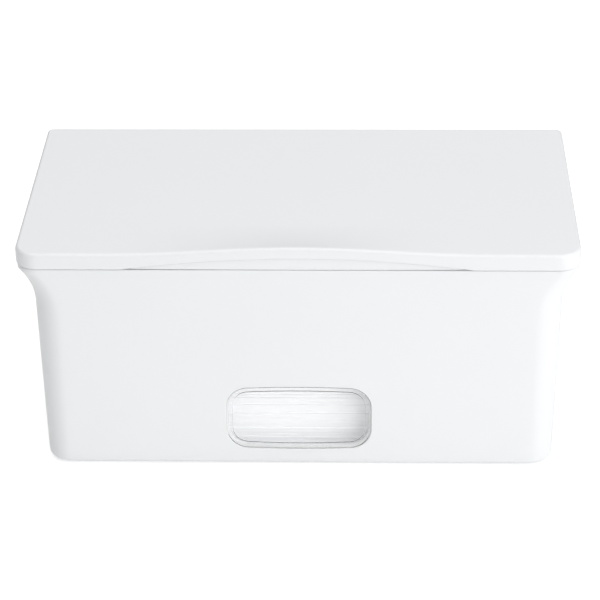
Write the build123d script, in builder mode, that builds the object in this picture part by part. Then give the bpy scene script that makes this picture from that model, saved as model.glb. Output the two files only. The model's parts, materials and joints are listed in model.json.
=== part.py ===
"""Table-top dispenser for moist wipes: a coved tub with a window, a hinged lid that
seals on an upright rim, and a weighted plate with a slot that lies on the wipes.

Millimetres, +Z up, front towards -Y. The origin is the middle of the space that the
closed dispenser takes up, at the height of the surface that it stands on.
"""

import os
from math import atan, cos, degrees, pi, radians, sin, sqrt, tan

from build123d import *

# Overall sizes
lid_width = 245.0
lid_depth = 132.0
lid_height = 7.3
body_height = 100.0
foot_proud = 1.0

# Tub
lid_overhang = 0.5
wall = 2.5
draft = 1.2
waist_inset = 6.9
cove_radius = 28.0
cove_steps = 6
rim_band = 2.0
base_corner = 10.6
base_rear_corner = 4.2
base_edge = 3.5
rim_corner = 9.5
rear_corner = 3.2
inner_corner = 0.6

# Window in the front wall, its lens and its seal
window_width = 64.6
window_height = 32.6
window_bow = 1.0
window_corner = 9.5
window_sill = 8.4
window_ledge = 2.8
collar_width = 2.0
collar_depth = 3.0
lens_thickness = 1.6
lens_fit = 0.1
window_seal_thickness = 0.4
window_seal_width = 2.0

# Upright rim frame, set into the mouth of the tub
frame_fit = 0.1
frame_depth = 14.0
upstand_wall = 1.8
upstand_edge = 0.5
upstand_step = 0.2
ledge_thickness = 2.5
relief_margin = 12.4
relief_rib = 2.0
relief_count = 7
tongue_step = 0.2
tongue_gap = 0.4
tongue_foot_gap = 0.25
tongue_end_gap = 3.0

# Lid
lid_top = 1.8
lid_wall = 2.0
lid_edge = 1.5
lid_front_corner = 10.0
lid_rear_corner = 3.0
crest_height = 3.5
crest_half_width = 84.0
crest_reach = 28.0
crest_power = 1.5
crest_wall = 2.4
arch_height = 5.4
arch_half_width = 76.0

# Hinge, hidden in the rear edge of the lid
hinge_gap = 0.4
hinge_inset = 47.5
knuckle_length = 14.0
knuckle_gap = 0.4
pin_radius = 1.0
pin_fit = 0.05
pin_length = 26.0

# Seal and snap tabs of the lid
gasket_thickness = 1.6
seal_gap = 0.1
seal_margin = 0.4
seal_rib_depth = 1.0
seal_rib_width = 1.0
tab_inset = 62.5
tab_width = 18.0
tab_depth = 6.5
tab_thickness = 1.6
tab_gap = 0.4
bead_radius = 0.6
bead_proud = 0.35
bead_drop = 4.6
groove_depth = 0.35
groove_height = 1.8

# Stack of wipes, narrower than the plate that lies on it
stack_height = 58.0
stack_side_margin = 9.0
stack_front_margin = 4.0
stack_corner = 6.0

# Weighted plate that lies on the stack
rest_gap = 0.3
plate_side_gap = 4.5
plate_front_gap = 1.0
plate_height = 9.0
plate_corner = 9.0
plate_edge = 1.6
plate_skin = 1.8
plate_fit = 0.3
base_skin = 2.0
weight_fence = 1.2
weight_fence_height = 2.2
weight_fit = 0.4
weight_margin = 0.8
weight_corner = 2.4
screw_inset = 8.5
boss_radius = 3.0
screw_radius = 1.1
screw_head_radius = 2.2
screw_head_height = 1.2
screw_tip_gap = 0.4
screw_fit = 0.15

# Slot that the wipe is pulled through, with its soft insert
slot_length = 96.0
slot_width = 30.0
slot_fit = 0.1
lip_margin = 2.6
lip_height = 1.2
lip_edge = 0.6
lip_wall = 5.0
mouth_width = 7.0

# Feet
foot_radius = 7.0
foot_fit = 0.1
foot_pocket = 0.8
foot_edge = 0.5
foot_inset = 17.0

# Levels and half sizes of the lid, the rim and the hinge
underside_z = foot_proud
floor_z = underside_z + wall
shoulder_z = underside_z + body_height
skirt_z = shoulder_z + hinge_gap
lid_top_z = skirt_z + lid_height
lid_under_z = lid_top_z - lid_top
upstand_z = lid_under_z - gasket_thickness - seal_gap
upstand_height = upstand_z - shoulder_z
lid_half_width = lid_width / 2
lid_half_depth = lid_depth / 2
rim_half_width = lid_half_width - lid_overhang
rim_half_depth = lid_half_depth - lid_overhang
frame_half_depth = rim_half_depth - wall - frame_fit
upstand_half_width = rim_half_width - wall - frame_fit - upstand_step
upstand_half_depth = frame_half_depth - upstand_step
hinge_radius = (lid_height - lid_top - hinge_gap) / 2
hinge_y = lid_half_depth - hinge_radius
hinge_z = skirt_z + hinge_radius
hinge_station = lid_half_width - hinge_inset
tab_station = lid_half_width - tab_inset
upstand_rear = hinge_y - hinge_radius - hinge_gap
mouth_half_width = upstand_half_width - upstand_wall
mouth_front = upstand_wall - upstand_half_depth
mouth_rear = upstand_rear - upstand_wall

# Side profile of the tub: drafted wall, hollow cove, upright rim band
slope = radians(draft)
cove_centre_x = lid_half_width - waist_inset + cove_radius * cos(slope)
cove_centre_z = shoulder_z - rim_band - sqrt(cove_radius**2 - (cove_centre_x - rim_half_width) ** 2)


def plan(half_width, front, rear, front_radius, rear_radius):
    """Rounded rectangle seen from above, with one corner radius in front and one behind."""
    with BuildSketch() as outline:
        with Locations((0, (front + rear) / 2)):
            Rectangle(2 * half_width, rear - front)
        fillet(outline.vertices().group_by(Axis.Y)[0], front_radius)
        fillet(outline.vertices().group_by(Axis.Y)[-1], rear_radius)
    return outline.sketch


def front_depth(z):
    """How far the tub's drafted front and rear walls stand from the middle at a height."""
    return rim_half_depth - (shoulder_z - z) * tan(slope)


def cove_foot(inset):
    """Height where the drafted side runs into the cove."""
    return cove_centre_z + (cove_radius + inset) * sin(slope)


def cove_head(inset):
    """Height where the cove reaches the upright rim band."""
    reach = cove_centre_x - rim_half_width + inset
    return cove_centre_z + sqrt((cove_radius + inset) ** 2 - reach**2)


def side_width(z, inset):
    """The tub's half width at a height, in its drafted stretch or in its cove."""
    rise = max(z, cove_foot(inset)) - cove_centre_z
    drafted = max(0.0, cove_foot(inset) - z) * tan(slope)
    return cove_centre_x - sqrt((cove_radius + inset) ** 2 - rise**2) - drafted


def tub_form(inset, top):
    """The tub's outside up to a height, or the form that lies an inset within it.

    A drafted prism stands below. The cove is a ruled loft through plans that widen along
    an arc while their corners tighten towards the rim, and the rim band is upright.
    """
    start_z = underside_z + inset
    foot_z = cove_foot(inset)
    head_z = cove_head(inset)
    growth = (foot_z - start_z) * tan(slope)
    front_radii = (base_corner - inset + growth, rim_corner - inset)
    rear_radii = (base_rear_corner - inset + growth, max(rear_corner - inset, inner_corner))

    def section(z, half_width, share):
        """The plan at a height, with corners that are a share of the way to the rim's."""
        front_radius = front_radii[0] + (front_radii[1] - front_radii[0]) * share
        rear_radius = rear_radii[0] + (rear_radii[1] - rear_radii[0]) * share
        depth = front_depth(z) - inset
        return Plane.XY.offset(z) * plan(half_width, -depth, depth, front_radius, rear_radius)

    steps = [step / cove_steps for step in range(cove_steps + 1)]
    heights = [foot_z + (head_z - foot_z) * step for step in steps]
    base_depth = front_depth(start_z) - inset
    base_radii = (base_corner - inset, base_rear_corner - inset)
    with BuildPart() as form:
        with BuildSketch(Plane.XY.offset(start_z)):
            add(plan(side_width(start_z, inset), -base_depth, base_depth, *base_radii))
        extrude(amount=foot_z - start_z, taper=-draft)
        fillet(form.edges().group_by(Axis.Z)[0], base_edge - inset)
        loft([section(z, side_width(z, inset), step) for z, step in zip(heights, steps)], ruled=True)
        add(section(head_z, rim_half_width - inset, 1.0))
        extrude(amount=top - head_z)
    return form.part


def window_outline(margin):
    """The window with its bowed upper and lower edges, drawn in from its edge by a margin."""
    half_width = window_width / 2
    half_height = window_height / 2
    corner_height = half_height - window_bow
    with BuildSketch() as outline:
        with BuildLine():
            upper = ThreePointArc((-half_width, corner_height), (0, half_height), (half_width, corner_height))
            lower = ThreePointArc((half_width, -corner_height), (0, -half_height), (-half_width, -corner_height))
            Line(upper @ 1, lower @ 0)
            Line(lower @ 1, upper @ 0)
        make_face()
        fillet(outline.vertices(), window_corner)
        if margin:
            offset(amount=-margin)
    return outline.sketch


# Plane of the front wall, at the middle of the window
window_z = underside_z + window_sill + window_height / 2
window_plane = Plane(
    origin=(0, -front_depth(window_z), window_z),
    x_dir=(1, 0, 0),
    z_dir=(0, -cos(slope), -sin(slope)),
)
lens_seat = lens_thickness + window_seal_thickness

# Middles of the feet, an inset from the tub's sides
foot_x = side_width(underside_z, 0) - foot_inset
foot_y = front_depth(underside_z) - foot_inset

# Body shell, with the window's ledge and collar and the pockets for the feet
with BuildPart() as body_shell:
    add(tub_form(0, shoulder_z))
    add(tub_form(wall, shoulder_z + wall), mode=Mode.SUBTRACT)
    with BuildSketch(window_plane.offset(-lens_seat)):
        add(window_outline(-collar_width))
    extrude(amount=-(wall + collar_depth - lens_seat))
    with BuildSketch(window_plane):
        add(window_outline(0))
    extrude(amount=-lens_seat, mode=Mode.SUBTRACT)
    with BuildSketch(window_plane):
        add(window_outline(window_ledge))
    extrude(amount=-2 * (wall + collar_depth), mode=Mode.SUBTRACT)
    with BuildSketch(Plane.XY.offset(underside_z)):
        with GridLocations(2 * foot_x, 2 * foot_y, 2, 2):
            Circle(foot_radius + foot_fit)
    extrude(amount=foot_pocket, mode=Mode.SUBTRACT)

# Window lens, flush with the front wall
with BuildPart() as window_lens:
    with BuildSketch(window_plane):
        add(window_outline(lens_fit))
    extrude(amount=-lens_thickness)

# Window seal, a thin ring between the lens and its ledge
with BuildPart() as window_seal:
    with BuildSketch(window_plane.offset(-lens_thickness)):
        add(window_outline(lens_fit))
        add(window_outline(lens_fit + window_seal_width), mode=Mode.SUBTRACT)
    extrude(amount=-window_seal_thickness)

# Rim frame: upright rim with a tongue in the finger arch, ledge and knuckles for the hinge
upstand_corner = rim_corner - wall - frame_fit - upstand_step
upstand_plan = plan(upstand_half_width, -upstand_half_depth, upstand_rear, upstand_corner, rear_corner)
mouth_plan = plan(
    mouth_half_width, mouth_front, mouth_rear, upstand_corner - upstand_wall, rear_corner - upstand_wall
)
tongue_half_width = arch_half_width - tongue_end_gap
tongue_foot_z = shoulder_z + tongue_foot_gap
tongue_back = upstand_half_depth + seal_margin + tongue_gap
relief_pitch = 2 * (mouth_half_width - relief_margin) / relief_count
bead_z = lid_under_z - bead_drop
with BuildPart() as tongue:
    with BuildSketch(Plane.XZ.offset(upstand_half_depth - upstand_wall / 2)):
        with BuildLine():
            tongue_top = ThreePointArc(
                (-tongue_half_width, tongue_foot_z),
                (0, skirt_z + arch_height - tongue_gap),
                (tongue_half_width, tongue_foot_z),
            )
            Line(tongue_top @ 1, tongue_top @ 0)
        make_face()
    extrude(amount=rim_half_depth - tongue_step - upstand_half_depth + upstand_wall / 2)
    with BuildSketch(Plane.XY.offset(upstand_z - upstand_edge)):
        with Locations((0, (mouth_front - tongue_back) / 2)):
            Rectangle(lid_width, tongue_back + mouth_front)
    extrude(amount=lid_height, mode=Mode.SUBTRACT)
with BuildPart() as rim_frame:
    with BuildSketch(Plane.XY.offset(shoulder_z - frame_depth)):
        Rectangle(lid_width, lid_depth)
    extrude(amount=frame_depth)
    add(tub_form(wall + frame_fit, shoulder_z + wall), mode=Mode.INTERSECT)
    with BuildSketch(Plane.XY.offset(shoulder_z)):
        add(upstand_plan)
    extrude(amount=upstand_height)
    with BuildSketch(Plane.XY.offset(shoulder_z - frame_depth)):
        add(mouth_plan)
    extrude(amount=frame_depth + upstand_height, mode=Mode.SUBTRACT)
    chamfer(rim_frame.edges().group_by(Axis.Z)[-1], upstand_edge)
    add(tongue.part)
    with BuildSketch(Plane.XY.offset(shoulder_z - frame_depth)):
        with Locations((0, upstand_rear + hinge_radius)):
            with GridLocations(relief_pitch, 0, relief_count, 1):
                Rectangle(relief_pitch - relief_rib, 2 * hinge_radius)
    extrude(amount=frame_depth - ledge_thickness, mode=Mode.SUBTRACT)
    for side in (-1, 1):
        with BuildSketch(Plane.YZ.offset(side * hinge_station - knuckle_length / 2)):
            with Locations((hinge_y, hinge_z)):
                Circle(hinge_radius)
            Polygon(
                (upstand_rear, shoulder_z),
                (frame_half_depth, shoulder_z),
                (hinge_y, hinge_z),
                (upstand_rear, hinge_z),
                align=None,
            )
        extrude(amount=knuckle_length)
        with BuildSketch(Plane.YZ.offset(side * hinge_station - knuckle_length / 2)):
            with Locations((hinge_y, hinge_z)):
                Circle(pin_radius + pin_fit)
        extrude(amount=knuckle_length, mode=Mode.SUBTRACT)
        with Locations((side * tab_station, mouth_front, bead_z)):
            Box(tab_width + 2 * tab_gap, 2 * groove_depth, groove_height, mode=Mode.SUBTRACT)


def crest(x, y):
    """How much higher the lid's top is at a point than its flat part.

    Across the lid it is a bell, the square of a cosine, and along the lid it is a
    power of the way to the front edge, which starts level and steepens slowly.
    """
    across = cos(pi / 2 * min(1.0, abs(x) / crest_half_width)) ** 2
    along = max(0.0, (crest_reach - lid_half_depth - y) / crest_reach) ** crest_power
    return crest_height * across * along


# The lid's top surface, a smooth sheet through points of the crest, wider than the lid
crest_columns = 25
crest_rows = 6
flat_rows = 4
sheet_margin = 4.0
sheet_half_width = lid_half_width + sheet_margin
sheet_half_depth = lid_half_depth + sheet_margin
crest_start = crest_reach - lid_half_depth
column_x = [sheet_half_width * (2 * step / (crest_columns - 1) - 1) for step in range(crest_columns)]
row_y = [
    crest_start - (crest_start + sheet_half_depth) * (1 - step / crest_rows) for step in range(crest_rows)
] + [crest_start + (sheet_half_depth - crest_start) * step / flat_rows for step in range(flat_rows + 1)]
top_sheet = Face.make_surface_from_array_of_points(
    [[Vector(x, y, lid_top_z + crest(x, y)) for y in row_y] for x in column_x], tol=0.005
)

# Space under the lid, up to its flat underside, with a pocket that follows the crest
crest_pocket_y = mouth_front + seal_margin + seal_rib_width
with BuildPart() as lid_space:
    with BuildSketch(Plane.XY.offset(skirt_z)):
        add(
            plan(
                lid_half_width - lid_wall,
                lid_wall - lid_half_depth,
                hinge_y - hinge_radius,
                lid_front_corner - lid_wall,
                lid_rear_corner - lid_wall,
            )
        )
    extrude(amount=lid_under_z - skirt_z)
with BuildPart() as crest_space:
    with BuildSketch(Plane.XY.offset(skirt_z)):
        with Locations((0, (crest_pocket_y + crest_start) / 2)):
            Rectangle(2 * crest_half_width, crest_start - crest_pocket_y)
    extrude(amount=lid_height + crest_height)
    pocket_roof = top_sheet.moved(Location((0, 0, -crest_wall)))
    extrude(pocket_roof, amount=2 * lid_height, dir=(0, 0, 1), mode=Mode.SUBTRACT)

# Lid, with its skirt, finger arch, hinge bar, seal rib and snap tabs
with BuildPart() as lid:
    with BuildSketch(Plane.XY.offset(skirt_z)):
        add(plan(lid_half_width, -lid_half_depth, lid_half_depth, lid_front_corner, lid_rear_corner))
    extrude(amount=lid_height + 2 * crest_height)
    extrude(top_sheet, amount=2 * lid_height, dir=(0, 0, 1), mode=Mode.SUBTRACT)
    fillet(lid.faces().sort_by(Axis.Z)[-1].edges(), lid_edge)
    add(lid_space.part, mode=Mode.SUBTRACT)
    add(crest_space.part, mode=Mode.SUBTRACT)
    with BuildSketch(Plane.XZ.offset(lid_half_depth - lid_wall)):
        with BuildLine():
            ThreePointArc(
                (-arch_half_width, skirt_z), (0, skirt_z + arch_height), (arch_half_width, skirt_z)
            )
            Polyline(
                (arch_half_width, skirt_z),
                (arch_half_width, skirt_z - lid_height),
                (-arch_half_width, skirt_z - lid_height),
                (-arch_half_width, skirt_z),
            )
        make_face()
    extrude(amount=2 * lid_wall, mode=Mode.SUBTRACT)
    for side, reach in ((1, lid_width), (-1, lid_half_width - lid_wall)):
        outer = hinge_y + side * hinge_radius
        with BuildSketch(Plane.YZ):
            with BuildLine():
                RadiusArc((hinge_y, skirt_z), (outer, hinge_z), -side * hinge_radius)
                Polyline(
                    (outer, hinge_z),
                    (outer + side * hinge_gap, hinge_z),
                    (outer + side * hinge_gap, skirt_z - hinge_gap),
                    (hinge_y, skirt_z - hinge_gap),
                    (hinge_y, skirt_z),
                )
            make_face()
        extrude(amount=reach, both=True, mode=Mode.SUBTRACT)
    for side in (-1, 1):
        with BuildSketch(Plane.XY.offset(skirt_z)):
            with Locations((side * hinge_station, hinge_y)):
                Rectangle(knuckle_length + 2 * knuckle_gap, 2 * (hinge_radius + hinge_gap))
        extrude(amount=lid_under_z - skirt_z, mode=Mode.SUBTRACT)
        with BuildSketch(Plane.YZ.offset(side * hinge_station)):
            with Locations((hinge_y, hinge_z)):
                Circle(pin_radius + pin_fit)
        extrude(amount=pin_length / 2 + pin_fit, both=True, mode=Mode.SUBTRACT)
        tab_y = mouth_front + tab_gap
        with BuildSketch(Plane.XY.offset(lid_under_z - tab_depth)):
            with Locations((side * tab_station, tab_y + tab_thickness / 2)):
                Rectangle(tab_width, tab_thickness)
        extrude(amount=tab_depth)
        with BuildSketch(Plane.YZ.offset(side * tab_station)):
            with Locations((tab_y + bead_radius - bead_proud, bead_z)):
                Circle(bead_radius)
        extrude(amount=tab_width / 2, both=True)
    with BuildSketch(Plane.XY.offset(lid_under_z - seal_rib_depth)):
        add(mouth_plan)
        offset(amount=-seal_margin, mode=Mode.REPLACE)
        offset(amount=-seal_rib_width, mode=Mode.SUBTRACT)
    extrude(amount=seal_rib_depth)

# Soft gasket under the lid, over the top of the upright rim
with BuildPart() as lid_gasket:
    with BuildSketch(Plane.XY.offset(upstand_z + seal_gap)) as ring:
        add(upstand_plan)
        offset(amount=seal_margin, mode=Mode.REPLACE)
        add(mouth_plan, mode=Mode.SUBTRACT)
    extrude(amount=gasket_thickness)


def hinge_pin(side):
    """Plain steel pin through one knuckle and into the hinge bar on both sides of it."""
    with BuildPart() as pin:
        with BuildSketch(Plane.YZ.offset(side * hinge_station)):
            with Locations((hinge_y, hinge_z)):
                Circle(pin_radius)
        extrude(amount=pin_length / 2, both=True)
    return pin.part


# Weighted plate: it passes the window's collar and the tub's sides all the way to the floor
plate_z = floor_z + stack_height + rest_gap
plate_top_z = plate_z + plate_height
base_top_z = plate_z + base_skin
cover_under_z = plate_top_z - plate_skin
plate_half_width = side_width(floor_z, wall) - plate_side_gap
plate_half_depth = front_depth(floor_z) - wall - collar_depth - plate_front_gap
screw_x = plate_half_width - screw_inset
screw_y = plate_half_depth - screw_inset


def plate_plan(margin):
    """The plate's outline, drawn in from its edge by a margin."""
    depth = plate_half_depth - margin
    corner = plate_corner - margin
    return plan(plate_half_width - margin, -depth, depth, corner, corner)


# Cover of the weighted plate, with screw bosses and the opening for the slot insert
with BuildPart() as plate_cover:
    with BuildSketch(Plane.XY.offset(plate_z)):
        add(plate_plan(0))
    extrude(amount=plate_height)
    chamfer(plate_cover.edges().group_by(Axis.Z)[-1], plate_edge)
    with BuildSketch(Plane.XY.offset(plate_z)):
        add(plate_plan(plate_skin))
    extrude(amount=plate_height - plate_skin, mode=Mode.SUBTRACT)
    with BuildSketch(Plane.XY.offset(base_top_z)):
        with GridLocations(2 * screw_x, 2 * screw_y, 2, 2):
            Circle(boss_radius)
            Circle(screw_radius, mode=Mode.SUBTRACT)
    extrude(amount=cover_under_z - base_top_z)
    with BuildSketch(Plane.XY.offset(plate_z)):
        SlotOverall(slot_length, slot_width)
    extrude(amount=plate_height, mode=Mode.SUBTRACT)

# Two weights fill the space between the slot, the screw bosses and the ends of the plate
fence_reach = weight_fit + weight_fence
weight_inner_x = slot_length / 2 + weight_margin + fence_reach
weight_outer_x = plate_half_width - plate_skin - plate_fit - weight_margin - fence_reach
weight_station = (weight_inner_x + weight_outer_x) / 2
weight_width = weight_outer_x - weight_inner_x
weight_depth = 2 * (screw_y - boss_radius - weight_margin - fence_reach)
weight_thickness = cover_under_z - base_top_z - weight_margin

# Base of the weighted plate, with fences round the weights and sunk screw holes
with BuildPart() as plate_base:
    with BuildSketch(Plane.XY.offset(plate_z)):
        add(plate_plan(plate_skin + plate_fit))
        SlotOverall(slot_length - 2 * lip_wall, slot_width - 2 * lip_wall, mode=Mode.SUBTRACT)
        with GridLocations(2 * screw_x, 2 * screw_y, 2, 2):
            Circle(screw_radius + screw_fit, mode=Mode.SUBTRACT)
    extrude(amount=base_skin)
    with BuildSketch(Plane.XY.offset(base_top_z)):
        with GridLocations(2 * weight_station, 0, 2, 1):
            Rectangle(weight_width + 2 * fence_reach, weight_depth + 2 * fence_reach)
            Rectangle(weight_width + 2 * weight_fit, weight_depth + 2 * weight_fit, mode=Mode.SUBTRACT)
    extrude(amount=weight_fence_height)
    with BuildSketch(Plane.XY.offset(plate_z)):
        with GridLocations(2 * screw_x, 2 * screw_y, 2, 2):
            Circle(screw_head_radius + screw_fit)
    extrude(amount=screw_head_height, mode=Mode.SUBTRACT)


def weight_bar(side):
    """Flat steel weight, in its fence on one side of the slot."""
    with BuildPart() as bar:
        with BuildSketch(Plane.XY.offset(base_top_z)):
            with Locations((side * weight_station, 0)):
                RectangleRounded(weight_width, weight_depth, weight_corner)
        extrude(amount=weight_thickness)
    return bar.part


# Screws from below, four alike
with BuildPart() as plate_screws:
    with BuildSketch(Plane.XY.offset(plate_z + screw_head_height)):
        with GridLocations(2 * screw_x, 2 * screw_y, 2, 2):
            Circle(screw_radius)
    extrude(amount=plate_height - screw_head_height - plate_skin - screw_tip_gap)
    with BuildSketch(Plane.XY.offset(plate_z + screw_fit)):
        with GridLocations(2 * screw_x, 2 * screw_y, 2, 2):
            Circle(screw_head_radius)
    extrude(amount=screw_head_height - screw_fit)

# Soft insert in the slot: a flange on the cover and a throat that narrows upwards
with BuildPart() as slot_lip:
    with BuildSketch(Plane.XY.offset(base_top_z)):
        SlotOverall(slot_length - 2 * slot_fit, slot_width - 2 * slot_fit)
    extrude(amount=plate_top_z - base_top_z)
    with BuildSketch(Plane.XY.offset(plate_top_z)):
        SlotOverall(slot_length + 2 * lip_margin, slot_width + 2 * lip_margin)
    extrude(amount=lip_height)
    chamfer(slot_lip.edges().group_by(Axis.Z)[-1], lip_edge)
    throat_height = plate_top_z + lip_height - base_top_z
    throat_width = slot_width - 2 * lip_wall
    with BuildSketch(Plane.XY.offset(base_top_z)):
        SlotOverall(slot_length - 2 * lip_wall, throat_width)
    extrude(
        amount=throat_height,
        taper=degrees(atan((throat_width - mouth_width) / 2 / throat_height)),
        mode=Mode.SUBTRACT,
    )

# Stack of folded wipes on the tub's floor
stack_width = 2 * (plate_half_width - stack_side_margin)
stack_depth = 2 * (plate_half_depth - stack_front_margin)
with BuildPart() as wipes_stack:
    with BuildSketch(Plane.XY.offset(floor_z)):
        RectangleRounded(stack_width, stack_depth, stack_corner)
    extrude(amount=stack_height)


def foot(side, end):
    """Rubber foot in its pocket under one corner of the tub."""
    with BuildPart() as pad:
        with BuildSketch():
            with Locations((side * foot_x, end * foot_y)):
                Circle(foot_radius)
        extrude(amount=foot_proud + foot_pocket)
        chamfer(pad.edges().group_by(Axis.Z)[0], foot_edge)
    return pad.part


pieces = {
    "body_shell": body_shell.part,
    "window_lens": window_lens.part,
    "window_seal": window_seal.part,
    "rim_frame": rim_frame.part,
    "lid": lid.part,
    "lid_gasket": lid_gasket.part,
    "hinge_pin_left": hinge_pin(-1),
    "hinge_pin_right": hinge_pin(1),
    "plate_cover": plate_cover.part,
    "plate_base": plate_base.part,
    "weight_bar_left": weight_bar(-1),
    "weight_bar_right": weight_bar(1),
    "plate_screws": plate_screws.part,
    "slot_lip": slot_lip.part,
    "wipes_stack": wipes_stack.part,
    "foot_front_left": foot(-1, -1),
    "foot_front_right": foot(1, -1),
    "foot_rear_left": foot(-1, 1),
    "foot_rear_right": foot(1, 1),
}

os.makedirs("parts", exist_ok=True)
for name, piece in pieces.items():
    piece.label = name
    export_step(piece, f"parts/{name}.step")
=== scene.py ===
"""Looks of a table-top dispenser for moist wipes: its moulded shells, clear window,
stack of wipes, weighted plate and soft slot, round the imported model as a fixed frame.

Metres, +Z up, front towards -Y.
"""

import json
from math import cos, pi, radians, sin, tan

import bmesh
import bpy
import numpy as np
from bpy.props import FloatProperty, FloatVectorProperty, IntProperty, PointerProperty
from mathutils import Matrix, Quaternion, Vector


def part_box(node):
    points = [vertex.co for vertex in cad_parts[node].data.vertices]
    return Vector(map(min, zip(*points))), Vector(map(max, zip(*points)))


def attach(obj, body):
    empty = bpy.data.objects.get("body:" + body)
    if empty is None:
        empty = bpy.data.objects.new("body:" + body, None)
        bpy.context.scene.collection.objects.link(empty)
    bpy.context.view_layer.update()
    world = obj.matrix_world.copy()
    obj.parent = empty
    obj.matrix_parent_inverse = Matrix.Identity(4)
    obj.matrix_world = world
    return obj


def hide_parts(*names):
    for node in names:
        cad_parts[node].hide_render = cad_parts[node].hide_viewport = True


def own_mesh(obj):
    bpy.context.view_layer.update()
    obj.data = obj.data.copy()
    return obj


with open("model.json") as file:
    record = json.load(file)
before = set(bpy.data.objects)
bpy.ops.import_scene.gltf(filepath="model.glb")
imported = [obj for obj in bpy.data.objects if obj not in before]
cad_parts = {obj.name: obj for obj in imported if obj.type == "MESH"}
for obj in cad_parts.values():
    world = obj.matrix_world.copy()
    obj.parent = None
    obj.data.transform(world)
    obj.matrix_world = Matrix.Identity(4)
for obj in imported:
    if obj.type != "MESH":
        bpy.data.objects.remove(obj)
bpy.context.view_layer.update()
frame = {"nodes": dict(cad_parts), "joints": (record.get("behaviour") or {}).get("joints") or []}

bl_info = {
    "name": "Wipes dispenser looks",
    "version": (1, 0, 0),
    "blender": (4, 5, 0),
    "location": "View3D > Sidebar > Dispenser",
    "description": "Dresses the packed wipes dispenser with finished shells, materials and a studio",
    "category": "Object",
}

MM = 0.001
MERGE_DISTANCE = 0.002 * MM


def length(name, description, millimetres):
    """A property that holds a size in metres, with its default given in millimetres."""
    return FloatProperty(
        name=name, description=description, default=millimetres * MM, unit="LENGTH", precision=5
    )


def colour(name, description, default):
    """A property that holds a linear colour."""
    return FloatVectorProperty(
        name=name, description=description, default=default, subtype="COLOR", size=3, min=0.0, max=1.0
    )


def share(name, description, default):
    """A property that holds a number from 0 to 1."""
    return FloatProperty(name=name, description=description, default=default, min=0.0, max=1.0)


def factor(name, description, default):
    """A property that holds a plain number."""
    return FloatProperty(name=name, description=description, default=default)


def tilt(name, description, degrees):
    """A property that holds an angle, with its default given in degrees."""
    return FloatProperty(name=name, description=description, default=radians(degrees), subtype="ANGLE")


def power(name, description, watts):
    """A property that holds the power of a light."""
    return FloatProperty(name=name, description=description, default=watts, unit="POWER")


class TubSizes(bpy.types.PropertyGroup):
    """Form of the tub below the lid."""

    wall: length("Wall", "Thickness of the moulded wall", 2.5)
    draft: tilt("Draft", "Lean of all four walls", 1.2)
    waist_inset: length("Waist inset", "How far the waist stands in from the lid's side", 6.9)
    cove_radius: length("Cove radius", "Radius of the hollow under the rim at both ends", 28.0)
    rim_band: length("Rim band", "Height of the upright band at the rim", 2.0)
    lid_overhang: length("Lid overhang", "How far the lid stands out past the rim", 0.5)
    base_corner: length("Base corner", "Radius of the front corners at the base", 10.6)
    base_rear_corner: length("Rear base corner", "Radius of the rear corners at the base", 4.2)
    rim_corner: length("Rim corner", "Radius of the front corners at the rim", 9.5)
    rear_corner: length("Rear corner", "Radius of the rear corners at the rim", 3.2)
    base_edge: length("Base edge", "Rounding round the underside", 3.5)
    rim_edge: length("Rim edge", "Small rounding along the top of the wall", 0.35)


class WindowSizes(bpy.types.PropertyGroup):
    """Window in the front wall, its lens and its seal."""

    width: length("Width", "Overall width of the window", 64.6)
    height: length("Height", "Overall height of the window", 32.6)
    bow: length("Bow", "How far the upper and lower edges bulge", 1.0)
    corner: length("Corner", "Radius of the corners", 9.5)
    sill: length("Sill", "Height of the lower edge above the underside", 8.4)
    ledge: length("Ledge", "Width of the ledge that carries the lens", 1.1)
    seat: length("Seat", "Depth of the ledge behind the front wall", 2.0)
    collar_width: length("Collar width", "How far the collar inside stands round the opening", 2.0)
    collar_depth: length("Collar depth", "How far the collar stands into the tub", 0.6)
    lens_thickness: length("Lens thickness", "Thickness of the clear lens", 1.6)
    plug_margin: length("Plug margin", "From the window's outline to the plug on the lens's back", 2.65)
    plug_slope: length("Plug slope", "Width of the slope round the plug", 0.14)
    plug_steepness: factor("Plug steepness", "Depth of the slope for its width", 3.0)
    plug_depth: length("Plug depth", "How far the plug stands behind the lens", 0.8)
    lens_fit: length("Lens fit", "Gap between the lens and its seat", 0.1)
    edge: length("Edge", "Rounding of the opening's and the lens's front edges", 0.3)
    seal_width: length("Seal width", "Width of the seal under the lens", 0.9)
    seal_slack: length("Seal slack", "Hair gap between the lens and the seal", 0.03)


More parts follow.
